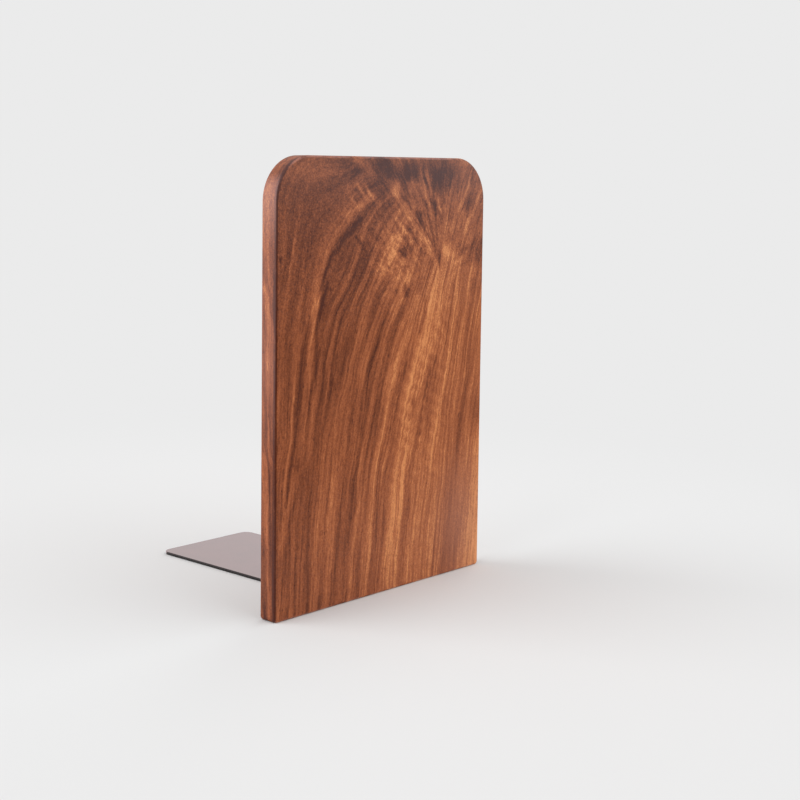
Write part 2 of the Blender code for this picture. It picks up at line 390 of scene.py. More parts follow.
def drive_recess():
    """A cutter for the cross-shaped recess in a screw's head, drawn in towards its floor."""
    slope = (1 - DRIVE_FLOOR_SHARE) / DRIVE_DEPTH

    def cross(z):
        reach = DRIVE_SPAN / 2 * (1 + slope * min(z, 0))
        half = DRIVE_WIDTH / 2 * (1 + slope * min(z, 0) / 2)
        corner = [(reach, -half), (reach, half), (half, half)]
        ring = []
        for quarter in range(4):
            turn = Matrix.Rotation(math.pi / 2 * quarter, 2)
            ring += [turn @ Vector(point) for point in corner]
        return [(x, y, z) for x, y in ring]

    return stacked_solid("drive_recess", cross, ((-DRIVE_DEPTH,), (0,), (OVERRUN,)), polygon_cap)


def wood_screw(name, turn):
    """One countersunk cross-head screw, turned about its axis by some degrees."""
    rim = SCREW_HEAD_RADIUS - SCREW_EDGE_RADIUS
    profile = (
        (0, 0),
        *reversed(arc(rim, -SCREW_EDGE_RADIUS, SCREW_EDGE_RADIUS, 0, 90, THIN_EDGE_STEPS)),
        (SCREW_HEAD_RADIUS, -SCREW_RIM_HEIGHT),
        (SCREW_CORE_RADIUS, -screw_neck),
        (SCREW_CORE_RADIUS, SCREW_TIP_LENGTH - SCREW_LENGTH),
        (SCREW_TIP_FLAT_RADIUS, -SCREW_LENGTH),
        (0, -SCREW_LENGTH),
    )
    screw = turned_solid("fine_" + name, profile)
    combine(screw, [thread_ridge()], "UNION")
    combine(screw, [drive_recess()])
    screw.data.transform(Matrix.Rotation(math.radians(turn), 4, "Z"))
    face_back(screw, Vector((0, 0, 0)))
    screw.location = screw_centre(name)
    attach(screw, "root")
    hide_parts(name)
    return screw


def foam_pad():
    """The pad under the base. It fills the space between the floor and the sheet."""
    edge = edge_profile(PAD_EDGE_RADIUS, THIN_EDGE_STEPS)
    bottom = [(inset, pad_low.z + depth) for inset, depth in edge]
    pad = stacked_solid(
        "foam_pad",
        lambda inset, z: [(x, y, z) for x, y in pad_outline(inset)],
        [*bottom, (0, bracket_low.z)],
        polygon_cap,
    )
    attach(pad, "root")
    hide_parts("non_slip_pad")
    return pad


# How far a soft oval or line runs out, as a share of its half width
REACH_SHARE = 1.7


class Graph:
    """Short calls for a tree of nodes. A value is a socket or a plain number."""

    def __init__(self, tree):
        self.tree = tree

    def node(self, kind, **settings):
        """A new node with its own settings."""
        made = self.tree.nodes.new(kind)
        for name, value in settings.items():
            setattr(made, name, value)
        return made

    def feed(self, socket, value):
        """Links a value to a socket, or sets the socket to it."""
        if isinstance(value, bpy.types.NodeSocket):
            self.tree.links.new(value, socket)
        else:
            socket.default_value = value

    def fill(self, node, **values):
        """Feeds a node's sockets, named with underscores for spaces. Gives back its first output."""
        for name, value in values.items():
            self.feed(node.inputs[name.replace("_", " ")], value)
        return node.outputs[0]

    def place(self):
        """The object's own coordinates in millimetres."""
        found = self.node("ShaderNodeTexCoord").outputs["Object"]
        return self.fill(self.node("ShaderNodeVectorMath", operation="SCALE"), Vector=found, Scale=1 / MM)

    def normal(self):
        """The surface's normal in the object's own coordinates."""
        return self.node("ShaderNodeTexCoord").outputs["Normal"]

    def math(self, operation, *values):
        made = self.node("ShaderNodeMath", operation=operation)
        for socket, value in zip(made.inputs, values):
            self.feed(socket, value)
        return made.outputs[0]

    def chain(self, operation, values):
        """The values joined one after another while they are made, so that few are held at once."""
        values = iter(values)
        total = next(values)
        for value in values:
            total = self.math(operation, total, value)
        return total

    def add(self, *values):
        return self.chain("ADD", values)

    def sub(self, a, b):
        return self.math("SUBTRACT", a, b)

    def mul(self, *values):
        return self.chain("MULTIPLY", values)

    def weigh(self, *pairs):
        """The sum of values times numbers."""
        total = 0.0
        for value, number in pairs:
            total = self.math("MULTIPLY_ADD", value, number, total)
        return total

    def vector(self, x, y, z):
        return self.fill(self.node("ShaderNodeCombineXYZ"), X=x, Y=y, Z=z)

    def split(self, vector):
        made = self.node("ShaderNodeSeparateXYZ")
        self.fill(made, Vector=vector)
        return made.outputs["X"], made.outputs["Y"], made.outputs["Z"]

    def noise(self, vector, scale=1.0, detail=2.0, roughness=0.5, output="Fac"):
        made = self.node("ShaderNodeTexNoise")
        self.fill(made, Vector=vector, Scale=scale, Detail=detail, Roughness=roughness)
        return made.outputs[output]

    def span(self, value, low, high, to_low=0.0, to_high=1.0, kind="SMOOTHSTEP"):
        """Maps low..high to to_low..to_high, held beyond its ends."""
        made = self.node("ShaderNodeMapRange", interpolation_type=kind)
        return self.fill(made, Value=value, From_Min=low, From_Max=high, To_Min=to_low, To_Max=to_high)

    def share(self, value, low, high):
        """Where a value lies between low and high, from 0 to 1."""
        return self.span(value, low, high, kind="LINEAR")

    def spot(self, plane, x, z, wide, tall, lean, height):
        """A soft oval in a plane, with a height at its middle, leaning to the right by some degrees."""
        oval = self.node("ShaderNodeTexGradient", gradient_type="SPHERICAL")
        self.fill(oval, Vector=plane)
        inside = oval.texture_mapping
        inside.vector_type = "TEXTURE"
        inside.translation = (x, z, 0)
        inside.rotation = (0, 0, -math.radians(lean))
        inside.scale = (REACH_SHARE * wide, REACH_SHARE * tall, 1)
        return self.span(oval.outputs["Fac"], 0, 1, 0, height)

    def spots(self, plane, ovals):
        """The sum of soft ovals."""
        return self.chain("ADD", (self.spot(plane, *oval) for oval in ovals))

    def ramp(self, value, stops, kind="LINEAR"):
        """A ramp of (place, colour) or (place, number) stops. Numbers are kept in its alpha."""
        made = self.node("ShaderNodeValToRGB")
        made.color_ramp.interpolation = kind
        elements = made.color_ramp.elements
        elements[0].position = stops[0][0]
        elements[-1].position = stops[-1][0]
        for place, content in stops[1:-1]:
            elements.new(place)
        numbers = isinstance(stops[0][1], (int, float))
        for element, (place, content) in zip(elements, stops):
            element.color = (1, 1, 1, content) if numbers else (*content, 1)
        self.feed(made.inputs[0], value)
        return made.outputs["Alpha" if numbers else "Color"]

    def mix(self, share, a, b):
        """Colour a with a share of colour b."""
        made = self.node("ShaderNodeMix", data_type="RGBA")
        sockets = {socket.identifier: socket for socket in (*made.inputs, *made.outputs)}
        for name, value in (("Factor_Float", share), ("A_Color", a), ("B_Color", b)):
            self.feed(sockets[name], (*value, 1) if isinstance(value, tuple) else value)
        return sockets["Result_Color"]

    def mix_shaders(self, share, a, b):
        """Shader a with a share of shader b."""
        made = self.node("ShaderNodeMixShader")
        for socket, value in zip(made.inputs, (share, a, b)):
            self.feed(socket, value)
        return made.outputs[0]


class Surface(Graph):
    """The nodes of a new material."""

    def __init__(self, name):
        self.material = bpy.data.materials.new(name)
        self.material.use_nodes = True
        super().__init__(self.material.node_tree)
        self.shader = self.tree.nodes["Principled BSDF"]

    def surface(self, **values):
        """Sets or links the shader's own sockets."""
        self.fill(self.shader, **values)

    def bump(self, height, distance):
        """A bump of the shader's normal, as deep as distance for a height of 1."""
        bumped = self.fill(self.node("ShaderNodeBump"), Strength=1.0, Distance=distance, Height=height)
        self.surface(Normal=bumped)


# Powder coat: linear colours, how metallic it is, and the depth of its orange peel
COAT_DARK = (0.205, 0.104, 0.101)
COAT_LIGHT = (0.270, 0.144, 0.139)
COAT_CUT = (0.012, 0.008, 0.008)
COAT_WORN = (0.30, 0.25, 0.235)
COAT_EDGE_TINT = (1.0, 0.90, 0.90, 1.0)
COAT_METALLIC = 0.9
COAT_RELIEF = 0.012 * MM

# Millimetres from the sheet's edge between which the dark cut edge and the rubbed band fade
CUT_FADE = (0.05, 0.2)
WORN_FADE = (0.15, 0.7)


def coated_steel():
    """Dark brown satin powder coat with a fine orange peel, rubbed near the sheet's edges, which are dark."""
    g = Surface("coated_steel")
    place = g.place()
    x, y, z = g.split(place)
    to_side = g.sub(bracket_high.x / MM, g.math("ABSOLUTE", x))
    to_end = g.sub(bracket_high.y / MM, y)
    to_top = g.sub(bracket_high.z / MM, z)
    to_edge = g.math("MINIMUM", to_side, g.math("MINIMUM", to_end, to_top))
    peel = g.noise(place, scale=2.2, detail=2.0)
    cloud = g.noise(place, scale=0.09, detail=3.0)
    rub = g.noise(place, scale=0.8, detail=4.0, roughness=0.6)
    paler_edge = g.mul(g.span(to_edge, *WORN_FADE, 1.0, 0.0), g.span(rub, 0.42, 0.62))
    cut = g.span(to_edge, *CUT_FADE, 1.0, 0.0)
    tone = g.weigh((cloud, 0.8), (peel, 0.2))
    coat = g.ramp(tone, ((0.3, COAT_DARK), (0.7, COAT_LIGHT)))
    g.surface(
        Base_Color=g.mix(cut, g.mix(g.mul(paler_edge, 0.3), coat, COAT_WORN), COAT_CUT),
        Metallic=g.weigh((cut, -COAT_METALLIC), (1.0, COAT_METALLIC)),
        Coat_Weight=g.weigh((cut, -0.8), (1.0, 1.0)),
        Coat_IOR=1.6,
        Specular_Tint=COAT_EDGE_TINT,
        Coat_Roughness=0.14,
        Roughness=g.weigh((cloud, 0.10), (peel, 0.06), (paler_edge, -0.06), (1.0, 0.22)),
    )
    g.bump(g.weigh((peel, 1.0), (rub, 0.2)), COAT_RELIEF)
    return g.material


# Foam rubber: linear colours, and the depth of its cells
FOAM_DARK = (0.012, 0.011, 0.011)
FOAM_LIGHT = (0.035, 0.032, 0.031)
FOAM_RELIEF = 0.05 * MM


def black_foam():
    """Fine closed-cell foam rubber."""
    g = Surface("black_foam")
    place = g.place()
    cell = g.fill(g.node("ShaderNodeTexVoronoi"), Vector=place, Scale=3.2)
    blotches = g.noise(place, scale=0.25, detail=4.0, roughness=0.6)
    tone = g.weigh((cell, 0.5), (blotches, 0.6))
    g.surface(
        Base_Color=g.ramp(tone, ((0.25, FOAM_DARK), (0.8, FOAM_LIGHT))),
        Roughness=g.weigh((cell, 0.12), (blotches, 0.1), (1.0, 0.74)),
        Specular_IOR_Level=0.3,
    )
    g.bump(cell, FOAM_RELIEF)
    return g.material


# Zinc plating: linear colours, the depth and fineness of the turned marks, and the radii in millimetres
# between which the rubbed rim fades in
ZINC_DARK = (0.035, 0.033, 0.034)
ZINC_LIGHT = (0.10, 0.095, 0.094)
ZINC_WORN = (0.42, 0.40, 0.38)
ZINC_RELIEF = 0.006 * MM
RING_FINENESS = 9.0
RIM_RADII = (1.72, 1.98)


def dark_zinc():
    """Black zinc plating with the turned marks of the head, rubbed at the rim."""
    g = Surface("dark_zinc")
    place = g.place()
    x, y, z = g.split(place)
    radius = g.math("SQRT", g.add(g.mul(x, x), g.mul(z, z)))
    turned = g.vector(g.mul(radius, RING_FINENESS), g.mul(y, RING_FINENESS), 0.0)
    rings = g.noise(turned, detail=3.0, roughness=0.6)
    patch = g.noise(place, scale=1.3, detail=4.0, roughness=0.6)
    paler_edge = g.mul(g.span(radius, *RIM_RADII), g.span(patch, 0.4, 0.62))
    tone = g.weigh((rings, 0.4), (patch, 0.6))
    plating = g.ramp(tone, ((0.3, ZINC_DARK), (0.7, ZINC_LIGHT)))
    g.surface(
        Base_Color=g.mix(g.mul(paler_edge, 0.8), plating, ZINC_WORN),
        Metallic=0.9,
        Roughness=g.weigh((patch, 0.25), (rings, 0.12), (paler_edge, -0.08), (1.0, 0.18)),
    )
    g.bump(rings, ZINC_RELIEF)
    return g.material


# The board in millimetres: its side from its middle, and its top
BOARD_SIDE = round(panel_high.x / MM)
BOARD_TOP = round(panel_high.z / MM)

# Flow of the walnut's grain, in millimetres: lines run up the board and lean over towards the crotch. The
# lean dies out in a direction, and is less at the far left and at the top. The shear leans lines to the right
# below a height, and the dive moves them sideways with the depth in the board.
CROTCH = (33, 126)
LEAN = 46
LEAN_REACH = 38
LEAN_OUTWARD = (-0.55, -0.83)
LEAN_LEFT_FADE = (-62, -20)
LEAN_TOP_FADE = (120, 160)
GRAIN_SHEAR = 0.05
SHEAR_TOP = 85.0
GRAIN_DIVE = 0.8

# How far the grain wanders across and along the board, slowly and finely, how far it sways, and how far the
# patches' ends fray, in millimetres
SLOW_WANDER = (4.0, 6.0)
FINE_WANDER = (2.4, 3.0)
SWAY = 3.0
FRAY = 7.0

# The curl's cross ripples: radians a millimetre along and across the grain, how far a noise shifts them in
# radians, and their depth in millimetres
CURL_WAVES = (1.25, 0.30)
CURL_JITTER = 8.0
CURL_DEPTH = 0.32

# The direction across the rays, and where the noises of rays and frays are cut
RAY_ACROSS = (0.73, 0.68)
RAY_SEED = 7.0
FRAY_SEED = 29.0

# Heights between which the specks and the mottle grow towards the top
SPECK_HEIGHTS = (95, 135)
MOTTLE_HEIGHTS = (105, 150)

# Millimetres behind the front face: where the painted highlight of the back's rounded edges fades in, and
# where the painted shade on the front of the sides fades out, widely and narrowly
BACK_HIGHLIGHT_FADE = (3.0, 5.0)
WIDE_SHADE_FADE = (1.0, 5.0)
NARROW_SHADE_FADE = (0.9, 1.9)

# The depth of the fibres, in metres
WALNUT_RELIEF = 0.04 * MM

# How fine the streaks are into the board, next to how fine they are across the grain
STREAK_DEPTH_SHARE = 0.7

# Light and dark bands across the grain at the board's foot: place in millimetres, and tone
BANDS = (
    (-100, 0.28), (-62, 0.32), (-58, 0.44), (-56, 0.22), (-52.5, 0.40), (-50.5, 0.28), (-48, 0.42),
    (-45.5, 0.28), (-40.5, 0.52), (-38, 0.32), (-34.5, 0.62), (-31, 0.32), (-28.5, 0.48),
    (-24.5, 0.28), (-21.5, 0.62), (-18.5, 0.34), (-13, 0.64), (-8.5, 0.38), (-4.5, 0.56),
    (-1, 0.72), (5, 0.75), (8.5, 0.52), (16.5, 0.70), (20, 0.60), (23, 0.70),
    (27, 0.58), (30, 0.66), (35, 0.50), (48, 0.76), (57, 0.97), (64, 0.66),
)

# Height of the crotch's seam, where the leaning grain ends and the fan above it begins: x and z
SEAM = (
    (-26, 176), (-15, 164), (-5, 159), (2, 155), (10, 148), (20, 138.5), (29, 129), (31.5, 126.5),
    (34, 135), (37, 137), (45, 131), (55, 127), (62, 126),
)

# How far above and below the seam the two blend, in millimetres
SEAM_BLEND = 3.0

# The fan: how far its foot lies left of the crotch, the angle of its right side in radians, how many
# millimetres of grain a radian takes, and its mean tone
FAN_SHIFT = 2
FAN_ANGLE = 1.15
FAN_WIDTH = 20
UPPER_TONE = 0.43

# Single lines of the figure: tone, width, and the line's x at heights z, as (z, x)
VEINS = (
    (-0.26, 1.0, ((50, 0), (59, 2.2), (70, 5.5), (79, 7.8), (90, 12), (96, 16.7))),
    (-0.20, 1.1, ((62, 21), (70, 24.5), (78, 25.5), (86, 27.8), (95, 32))),
    (-0.22, 0.9, ((70, -44.4), (78, -43), (89, -40), (115, -39))),
    (-0.22, 0.9, ((60, -37), (65, -36), (84, -31.7), (96, -30.5), (115, -24.4))),
    (-0.16, 1.0, ((60, -13), (72, -14.5), (83, -12.8), (90, -10), (105, -2))),
    (-0.20, 0.9, ((96, -1), (105, 3.3), (113, 9))),
    (-0.25, 0.9, ((98, 19), (102, 20), (109, 22.8), (117, 23.5))),
    (0.12, 1.6, ((40, -8.5), (57, -4.4), (70, 0), (78, 2.2), (92, 6.7), (102, 15.5))),
    (0.08, 2.4, ((40, 9), (53, 11), (70, 13.3), (84, 15.5), (95, 20), (100, 26.7), (113, 31))),
    (0.18, 1.6, ((80, -44.5), (92, -43), (104, -41.7), (114, -40.7), (124, -38.5))),
    (0.26, 2.2, ((104, -41.5), (118, -40), (128, -37), (137, -31.5), (145, -25), (150, -19), (156, -8))),
    (-0.26, 2.0, ((104, -38), (120, -36), (129, -33.5), (134, -30), (140, -24), (146, -16.5), (151, -5))),
    (0.16, 1.2, ((120, -33), (127, -30.5), (133, -27), (139, -22), (144, -15))),
    (-0.14, 1.0, ((118, -47), (128, -46), (138, -43), (146, -38), (153, -30), (158, -21))),
    (0.26, 1.8, ((22, -57), (30, -56.5), (42, -53), (50, -51), (58, -49.5))),
    (-0.10, 1.0, ((4, -56), (20, -55), (32, -53), (42, -50.5), (56, -46))),
    (0.24, 1.2, ((0, -21.5), (10, -20), (20, -18.5), (34, -16), (45, -13.5))),
    (-0.16, 1.0, ((14, -5.5), (30, -4), (45, -1), (56, 1))),
    (0.22, 1.4, ((60, 19), (70, 20.5), (80, 22), (90, 25), (97, 28), (103, 31), (110, 32.5), (122, 35))),
    (-0.22, 1.5, ((96, 36), (106, 37.5), (114, 39), (124, 41))),
    (-0.22, 1.6, ((86, 0.5), (94, 4.5), (100, 8), (108, 13.5))),
    (0.16, 1.3, ((80, 4.5), (88, 7.5), (94, 9.5), (100, 13), (106, 17))),
    (0.18, 1.2, ((74, -5.5), (84, -3), (92, -0.5), (98, 1.5))),
    (0.14, 1.2, ((84, -9), (94, -7), (102, -4), (110, 1), (118, 5.5))),
    (-0.18, 1.1, ((54, -14), (64, -12), (72, -10.5), (80, -9), (88, -6.5), (97, -2.5))),
    (-0.18, 1.2, ((43, 8.3), (52, 10), (60, 13), (68, 15.5), (78, 18))),
    (-0.16, 1.0, ((46, 18.5), (56, 21), (62, 23), (70, 25.5))),
    (-0.22, 1.4, ((-3, 10), (10, 11.5), (20, 13.5), (30, 15), (42, 15.8))),
    (0.20, 1.0, ((110, -48.7), (120, -48), (128, -47), (138, -45.8))),
    (-0.16, 1.2, ((102, -47.5), (112, -46), (120, -45), (128, -43.5), (140, -41))),
    (-0.14, 1.2, ((64, -42.3), (80, -43.5), (90, -44.5), (100, -45))),
    (-0.12, 1.0, ((5, 46), (25, 48.5), (40, 51), (52, 52.2))),
)

# How a vein fades at its ends: share of its length, and share of its tone
VEIN_FADE_SHARES = ((0, 0), (0.22, 1), (0.8, 1), (1, 0))

# Soft ovals: x, z, half width, half length, lean to the right in degrees, and height. In turn, the mottled
# heart, the foot of the fan, and where streaks are calm, the grain ripples, rays cross, and the painted sheen
# is thick.
HEART_SPOT = (9, 134, 17, 13, -45, 1.0)
APEX_SPOT = (33, 128, 9, 14, 0, 1.0)
QUIET_SPOTS = ((-44, 160, 26, 18, -20, 1.2), (44, 22, 10, 28, 6, 0.8))
CURL_SPOTS = ((20, 72, 20, 34, 8, 1.0), (33, 104, 12, 16, 30, 0.6))
RAY_SPOTS = ((-14, 153, 15, 9, 20, 1.0), (10, 138, 24, 15, -40, 1.3), (-15, 138, 8, 6, -40, 0.5))
SHEEN_SPOT = (48, 20, 14, 24, 0, 0.09)

# Strokes and patches of the figure, as soft ovals with their tones for heights
PATCHES = (
    (8, 137, 17, 11, -50, 0.16),
    (10, 20, 80, 40, 0, 0.05),
    (0, 172, 80, 26, 0, -0.03),
    (-42, 165, 15, 4.5, 0, 0.24),
    (-48, 146, 15, 20, 0, -0.10),
    (-56, 62, 7, 13, 0, 0.10),
    (-6, 80, 6, 20, 12, -0.10),
    (17, 106, 10, 32, 18, 0.12),
    (44, 112, 9, 28, 5, 0.09),
    (6, 167, 4, 4, 0, 0.10),
    (-28, 130, 20, 16, 0, -0.08),
    (-14, 110, 11, 14, 0, -0.07),
    (25, 97, 5, 8, 30, 0.10),
    (47, 149, 10, 13, 20, 0.20),
    (12, 153, 8, 4, 0, 0.12),
    (-26, 125, 7, 10, 15, 0.10),
    (4, 35, 5, 25, 0, 0.07),
    (58, 70, 6, 10, 0, -0.15),
    (42, 9, 5, 14, 7, -0.07),
    (54.5, 66, 3.5, 13, 3, -0.22),
    (55.5, 92, 3, 13, 0, -0.14),
    (2, 33, 1.3, 9, 6, 0.26),
    (-22.5, 63, 1.2, 7, 12, 0.20),
    (-22, 31, 1.6, 6, 12, 0.16),
    (-47, 33, 2, 14, 4, 0.09),
    (57.5, 8, 1.8, 10, 4, 0.22),
    (-31, 36, 1.2, 8, 2, -0.18),
    (6, 22, 1.8, 8, -10, -0.12),
    (19, 115, 1.4, 5, 20, 0.20),
    (17.5, 123, 2, 3, 0, 0.18),
    (2, 126, 2.5, 4, 45, 0.16),
    (2.5, 114, 1.3, 5, 30, 0.16),
    (28.5, 120, 1.2, 5, 12, -0.20),
    (22.5, 104, 1.2, 3.5, 10, -0.20),
    (39.5, 140, 1.8, 5, 10, 0.26),
    (26.5, 142, 1.3, 5, -25, 0.22),
    (19.5, 160, 1.8, 3.5, 0, -0.24),
    (-20.5, 145, 2, 3, 40, 0.20),
    (-15, 149.5, 2, 2.5, 45, 0.14),
    (-9, 154, 3, 1.5, -20, 0.16),
    (-13, 139, 1.5, 3, 30, 0.20),
    (-3, 142, 2.5, 3.5, 30, -0.16),
    (52, 132, 1.8, 2.5, 0, 0.16),
    (51, 148, 3, 4, 35, -0.14),
    (35, 155, 2.5, 4, 10, 0.12),
    (-13, 166, 2, 4, 0, -0.16),
    (-21, 127, 1.4, 5, 25, -0.13),
    (-9, 119, 1.6, 5, 25, -0.13),
    (-15, 122, 1.4, 5, 35, -0.13),
    (48.5, 110, 1.0, 6, 10, -0.15),
    (43.5, 112, 1.2, 8, 12, 0.11),
    (33, 54, 4.5, 14, 6, 0.13),
    (33, 95, 3.5, 10, 8, 0.06),
    (33, 143, 4, 6, 0, 0.08),
    (5, 58, 5, 20, 8, 0.10),
    (5, 82, 4, 8, 10, 0.07),
    (4, 127, 5, 7, 0, 0.07),
    (-8, 122, 5, 12, 20, -0.06),
    (-50, 116, 4, 8, 0, -0.05),
    (-50, 57, 4, 7, 0, -0.06),
    (-50, 33, 5, 14, 5, 0.15),
    (-36, 22, 5, 9, 3, -0.10),
    (-24, 39, 4, 8, 3, 0.07),
    (-36, 84, 4, 9, 5, -0.12),
    (11, 120, 9, 14, 10, 0.08),
    (-51, 143, 6, 14, 0, 0.05),
    (-30, 162, 10, 7, 0, -0.07),
    (49, 103, 4, 14, 5, -0.09),
    (48, 63, 4, 8, 5, -0.08),
    (53.5, 25, 2.5, 24, 5, 0.05),
    (60, 10, 2.5, 18, 3, 0.10),
    (-61, 27, 1.5, 9, 0, -0.16),
    (29, 115, 4.5, 11, 15, 0.18),
    (2, 135, 4.5, 6, -30, 0.13),
    (9.5, 122.5, 3.5, 3, 0, 0.20),
    (-5, 128, 3, 4, 40, 0.14),
    (8, 100, 5, 14, 35, 0.12),
    (37, 132, 2.6, 4.5, -45, 0.32),
    (4.5, 158, 2.8, 3.2, 0, 0.50),
    (21.5, 157, 1.2, 9, -22, 0.55),
    (32, 150, 4, 1.5, 0, 0.20),
    (44.5, 153, 1.3, 11, 28, 0.30),
    (49, 144, 1, 5, 28, 0.25),
    (24.5, 160, 0.8, 6, -20, 0.42),
    (23.0, 160, 0.7, 7, -20, -0.40),
    (30, 152, 0.7, 5, -30, 0.34),
    (47, 158, 0.7, 8, 26, -0.22),
    (42, 150, 0.8, 8, 22, -0.18),
    (53, 161, 0.7, 7, 24, 0.20),
    (8, 143, 0.8, 7, -45, 0.28),
    (16, 145.5, 0.7, 8, -45, -0.30),
    (25, 137, 0.8, 7, -45, 0.26),
    (44, 131, 0.6, 7, 65, -0.20),
    (47, 127, 0.6, 8, 72, -0.18),
    (45, 129, 0.6, 7, 68, 0.16),
    (-15.5, 157, 0.8, 3.8, -42, 0.42),
    (-11, 156.5, 0.8, 4.0, -42, 0.42),
    (-21, 154.5, 0.8, 4, -42, 0.18),
    (-17, 151.5, 2.8, 8, 65, 0.32),
    (12, 150, 1.2, 6, -45, 0.34),
    (14, 159, 4.5, 2.6, 0, 0.28),
    (-9, 132, 4.5, 10, 28, -0.14),
    (1, 138, 3, 7, 25, 0.14),
    (20, 138.5, 1.0, 13, -43, 0.34),
    (22, 141.5, 0.8, 12, -41, -0.34),
    (14, 140, 0.7, 9, -45, -0.24),
    (-4, 163, 6.5, 7, 0, -0.50),
    (-19, 165.5, 8, 3, 0, -0.26),
    (12, 164.5, 6, 3.6, 0, -0.52),
    (32, 163, 10, 5.5, 0, -0.50),
    (28, 152, 1.8, 4.5, -30, -0.50),
    (9, 153.5, 1.2, 3, -45, -0.45),
    (19.5, 145.5, 2.4, 3.6, -40, -0.36),
    (25, 146, 0.9, 15, -19, -0.26),
    (10.5, 133.5, 2.8, 2.2, 0, -0.58),
    (11.5, 118.5, 3.2, 1.9, 70, -0.52),
    (-20, 144.5, 2, 6, 52, -0.30),
    (-4, 151.7, 1.6, 7, 80, -0.20),
    (-16.7, 138, 0.6, 4.8, -50, -0.28),
    (49, 152, 3, 3, 0, -0.35),
    (31.5, 130, 0.9, 4, 0, -0.40),
    (53, 134, 2.5, 3.5, 0, -0.16),
    (54, 118, 3, 3, 0, -0.14),
    (19.5, 120, 1.5, 3, 0, -0.20),
    (16.3, 73, 0.9, 4, 4, -0.26),
    (21, 61.5, 0.9, 4, 16, -0.20),
    (-57.7, 132.7, 0.7, 0.9, 0, -0.5),
)

# Linear colours of the oiled wood, from its darkest tone to its lightest
WALNUT_TONES = (
    (-0.2, (0.072, 0.014, 0.005)),
    (0.0, (0.094, 0.020, 0.006)),
    (0.25, (0.185, 0.047, 0.015)),
    (0.5, (0.300, 0.082, 0.028)),
    (0.75, (0.445, 0.136, 0.047)),
    (1.0, (0.665, 0.247, 0.087)),
    (1.3, (0.80, 0.325, 0.122)),
)

# Painted sheen, like a soft reflection, that greys the board: share at heights z
SHEEN_BY_HEIGHT = (
    (0, 0.035), (20, 0.035), (45, 0.015), (60, 0.0), (100, 0.0), (115, 0.02), (135, 0.045),
    (150, 0.08), (162, 0.13), (170, 0.14),
)
SHEEN_COLOUR = (0.26, 0.27, 0.30)
# Painted pink sheen of the long sides and of the rounded edges' painted highlight
SIDE_SHEEN = (0.62, 0.42, 0.42)

# Painted light that makes the long sides paler towards the top: share of the board's height, and share of the
# full lift
SIDE_LIGHT_SHARES = ((0, 0), (0.33, 0.08), (0.56, 0.45), (0.7, 0.34), (0.8, 0.34), (0.9, 0.88), (1, 0.6))


def graph_line(g, value, points):
    """A line drawn through (value, height) points, as a ramp."""
    low, high = points[0][0], points[-1][0]
    heights = [height for place, height in points]
    base, rise = min(heights), max(heights) - min(heights)
    stops = [((place - low) / (high - low), (height - base) / rise) for place, height in points]
    return g.math("MULTIPLY_ADD", g.ramp(g.share(value, low, high), stops), rise, base)


def colour_line(g, value, points):
    """The colour at a value, from (value, colour) points."""
    low, high = points[0][0], points[-1][0]
    stops = [((place - low) / (high - low), colour) for place, colour in points]
    return g.ramp(g.share(value, low, high), stops)


def vein_group(tone, width, points):
    """A node group with a soft line along the grain, fading at its ends. A small tree is quick to build."""
    tree = bpy.data.node_groups.new("vein", "ShaderNodeTree")
    for name, side in (("x", "INPUT"), ("z", "INPUT"), ("tone", "OUTPUT")):
        tree.interface.new_socket(name, in_out=side, socket_type="NodeSocketFloat")
    g = Graph(tree)
    x, z = g.node("NodeGroupInput").outputs[:2]
    low, high = points[0][0], points[-1][0]
    places = [place for height, place in points]
    base, reach = min(places), max(places) - min(places)
    share = g.share(z, low, high)
    stops = [((height - low) / (high - low), (place - base) / reach) for height, place in points]
    off = g.math("MULTIPLY_ADD", g.ramp(share, stops, "CARDINAL"), -reach, g.sub(x, base))
    body = g.span(g.math("ABSOLUTE", off), 0, REACH_SHARE * width, tone, 0)
    faded = g.mul(body, g.ramp(share, VEIN_FADE_SHARES, "EASE"))
    g.feed(g.node("NodeGroupOutput").inputs[0], faded)
    return tree


def wander(g, noise, x, z, across, along):
    """x and z, moved about by a noise over the lengths across and along."""
    noise_x, _, noise_z = g.split(noise)
    moved_x = g.weigh((noise_x, across), (x, 1.0), (1.0, -across / 2))
    moved_z = g.weigh((noise_z, along), (z, 1.0), (1.0, -along / 2))
    return moved_x, moved_z


def streak(g, across, along, depth, fine, long, seed, detail=2.0, roughness=0.5):
    """Noise drawn out along the grain, about 0. seed is where the noise is cut."""
    within = g.weigh((depth, fine * STREAK_DEPTH_SHARE), (1.0, seed))
    vector = g.vector(g.mul(across, fine), within, g.mul(along, long))
    return g.sub(g.noise(vector, detail=detail, roughness=roughness), 0.5)


def leaning_grain(g, x, z):
    """The place across the grain, as x at the board's foot, below the crotch."""
    dx, dz = g.sub(x, CROTCH[0]), g.sub(z, CROTCH[1])
    away = g.weigh((dx, LEAN_OUTWARD[0]), (dz, LEAN_OUTWARD[1]))
    near = g.math("EXPONENT", g.mul(away, -1 / LEAN_REACH))
    share = g.mul(
        g.span(x, 0, BOARD_SIDE, LEAN, LEAN / 4),
        g.span(x, *LEAN_LEFT_FADE, 0.5, 1.0),
        g.span(z, *LEAN_TOP_FADE, 1.0, 0.8),
    )
    shear = g.mul(g.math("MINIMUM", z, SHEAR_TOP), GRAIN_SHEAR)
    return g.sub(g.sub(x, g.mul(share, near)), shear)


